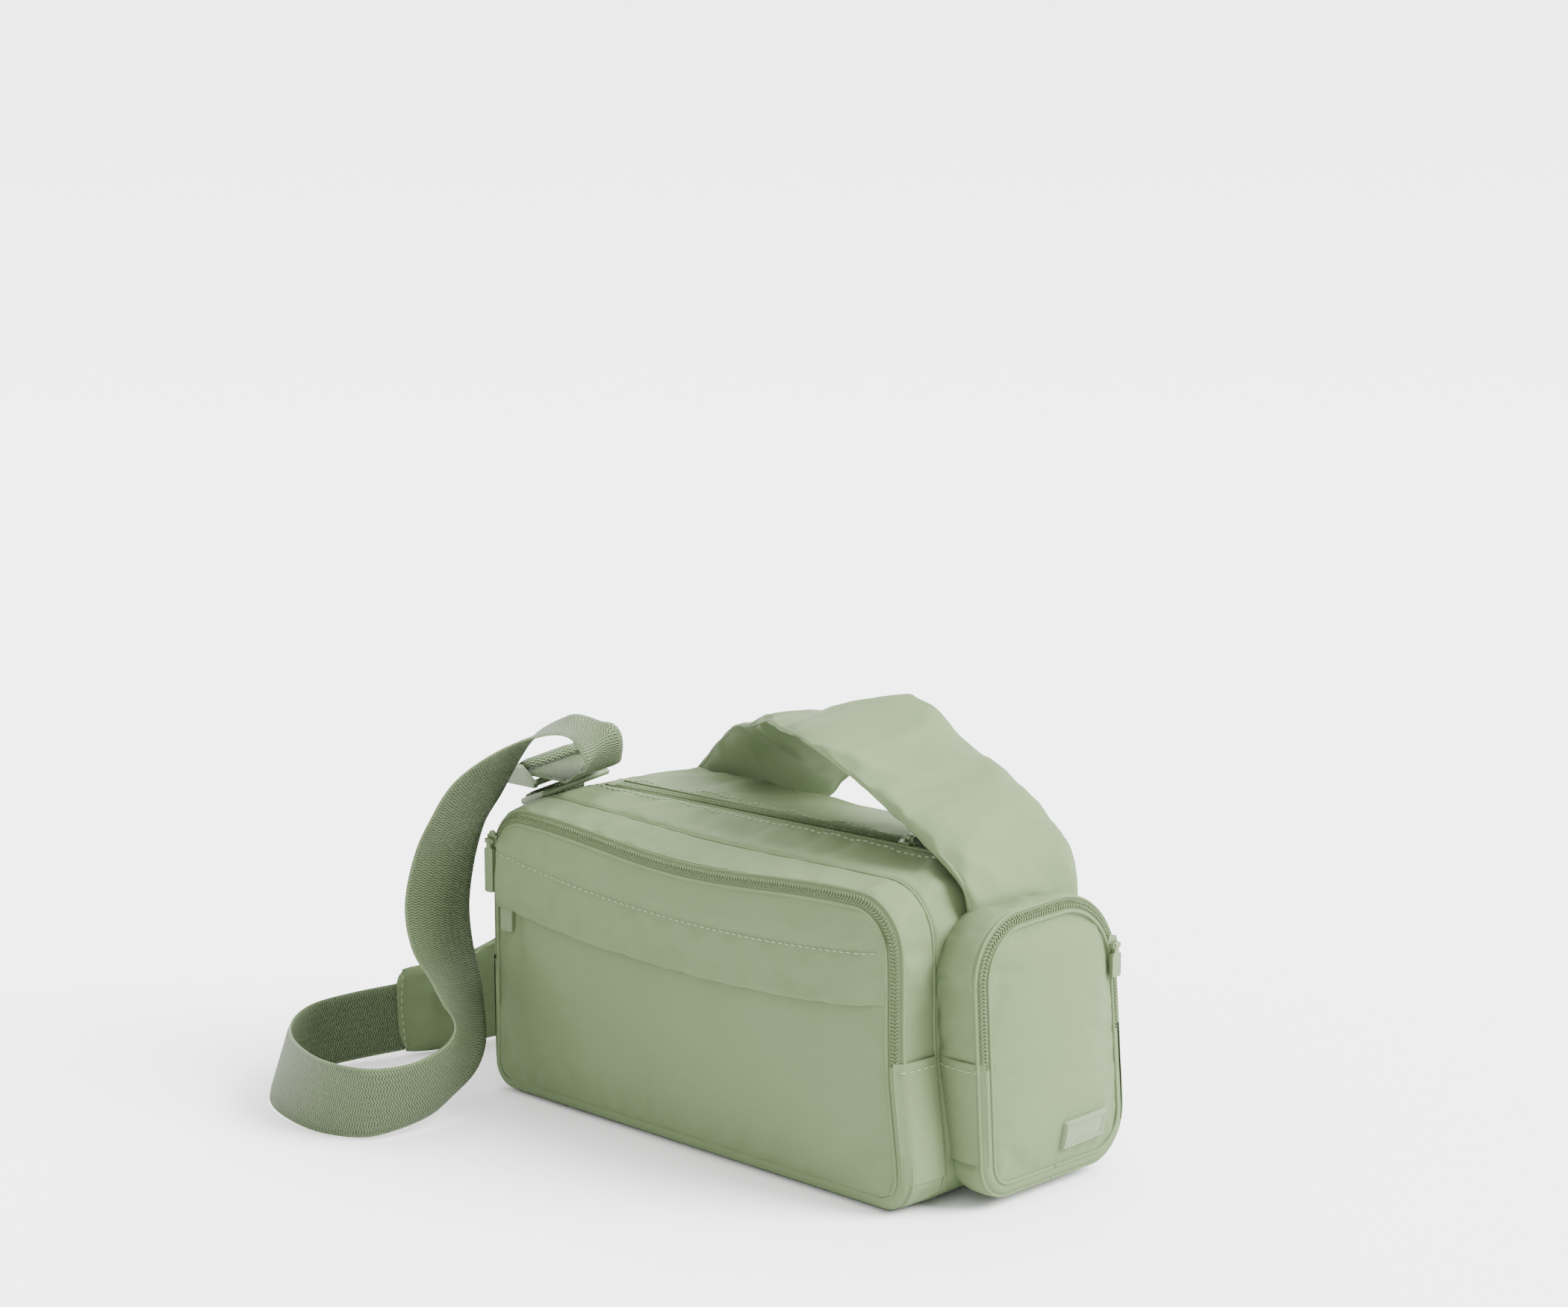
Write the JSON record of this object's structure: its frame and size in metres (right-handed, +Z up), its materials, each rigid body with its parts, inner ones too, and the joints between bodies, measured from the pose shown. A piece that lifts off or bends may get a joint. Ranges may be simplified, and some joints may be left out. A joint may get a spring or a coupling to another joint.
{
  "type": "crossbody purse",
  "caption": "Soft boxy crossbody purse with a front compartment, flap-covered zip pocket, D-shaped side pocket, wide padded strap and adjustable webbing.",
  "frame": {"origin": "centre of the bag's flat base, where it stands", "axes": "+Z up, X along the bag with the side pocket at +X, -Y towards the front panel"},
  "size_m": [0.3482, 0.2297, 0.1835],
  "materials": {
    "body_fabric": "smooth nylon twill",
    "lining": "plain lining",
    "zip_tape": "ribbed zip tape",
    "webbing": "ribbed webbing",
    "green_plastic": "satin moulded",
    "rubber_trim": "matt",
    "board": "matt",
    "foam": "open foam"
  },
  "bodies": {
    "root": {"front_panel": "body_fabric", "front_yoke": "body_fabric", "pocket_flap": "body_fabric", "flap_pocket_lining": "lining", "front_gusset_upper": "body_fabric", "front_gusset_lower": "body_fabric", "front_divider": "lining", "front_zip_tape": "zip_tape", "flap_zip_tape": "zip_tape", "flap_zip_coil": "zip_tape", "back_panel": "body_fabric", "base_panel": "body_fabric", "left_end_panel": "body_fabric", "right_end_panel": "body_fabric", "top_panel_front": "body_fabric", "top_panel_back": "body_fabric", "base_board": "board", "back_foam": "foam", "inner_slip_pocket": "lining", "main_zip_tape_front": "zip_tape", "main_zip_tape_back": "zip_tape", "main_zip_coil": "zip_tape", "main_zip_stops": "green_plastic", "side_pocket_panel": "body_fabric", "side_gusset_upper": "body_fabric", "side_gusset_lower": "body_fabric", "side_zip_tape": "zip_tape", "side_patch": "rubber_trim", "strap_anchor": "body_fabric", "strap_pad": "body_fabric", "strap_webbing": "webbing", "ring_tab": "webbing"},
    "main_slider": {"main_zip_slider": "green_plastic"},
    "main_pull": {"main_zip_pull": "green_plastic"},
    "front_slider": {"front_zip_slider": "green_plastic"},
    "front_pull": {"front_zip_pull": "green_plastic"},
    "flap_slider": {"flap_zip_slider": "green_plastic"},
    "flap_pull": {"flap_zip_pull": "rubber_trim"},
    "side_slider": {"side_zip_slider": "green_plastic"},
    "side_pull": {"side_zip_pull": "green_plastic"},
    "ring": {"ring": "green_plastic"},
    "strap_slider": {"slider_frame": "green_plastic", "slider_centre_bar": "green_plastic", "webbing_tail": "webbing"}
  },
  "joints": [
    {"name": "main_zip_travel", "type": "slide", "parent": "root", "child": "main_slider", "axis": [1, 0, 0], "range_m": [-0.165, 0]},
    {"name": "main_pull_lift", "type": "hinge", "parent": "main_slider", "child": "main_pull", "pos_m": [0.078, 0.001, 0.1355], "axis": [1, 0, 0], "range_deg": [0, 25]},
    {"name": "front_zip_travel", "type": "slide", "parent": "root", "child": "front_slider", "axis": [0, 0, -1], "range_m": [0, 0.042]},
    {"name": "front_pull_lift", "type": "hinge", "parent": "front_slider", "child": "front_pull", "pos_m": [-0.1184, -0.0565, 0.113], "axis": [-1, 0, 0], "range_deg": [0, 110]},
    {"name": "flap_zip_travel", "type": "slide", "parent": "root", "child": "flap_slider", "axis": [1, 0, 0], "range_m": [0, 0.21]},
    {"name": "flap_pull_lift", "type": "hinge", "parent": "flap_slider", "child": "flap_pull", "pos_m": [-0.108, -0.0554, 0.092], "axis": [-1, 0, 0], "range_deg": [0, 3]},
    {"name": "side_zip_travel", "type": "hinge", "parent": "root", "child": "side_slider", "pos_m": [0.145, 0.018, 0.084], "axis": [1, 0, 0], "range_deg": [-12, 68]},
    {"name": "side_pull_lift", "type": "hinge", "parent": "side_slider", "child": "side_pull", "pos_m": [0.1475, 0.0476, 0.09477], "axis": [0, -1, 0], "range_deg": [0, 140]},
    {"name": "ring_swing", "type": "hinge", "parent": "root", "child": "ring", "pos_m": [-0.125, -0.01233, 0.12862], "axis": [0, 0.9903, 0.1392], "range_deg": [-6, 1]},
    {"name": "strap_slider_travel", "type": "slide", "parent": "root", "child": "strap_slider", "axis": [1, 0, 0], "range_m": [-0.003, 0.008]}
  ]
}
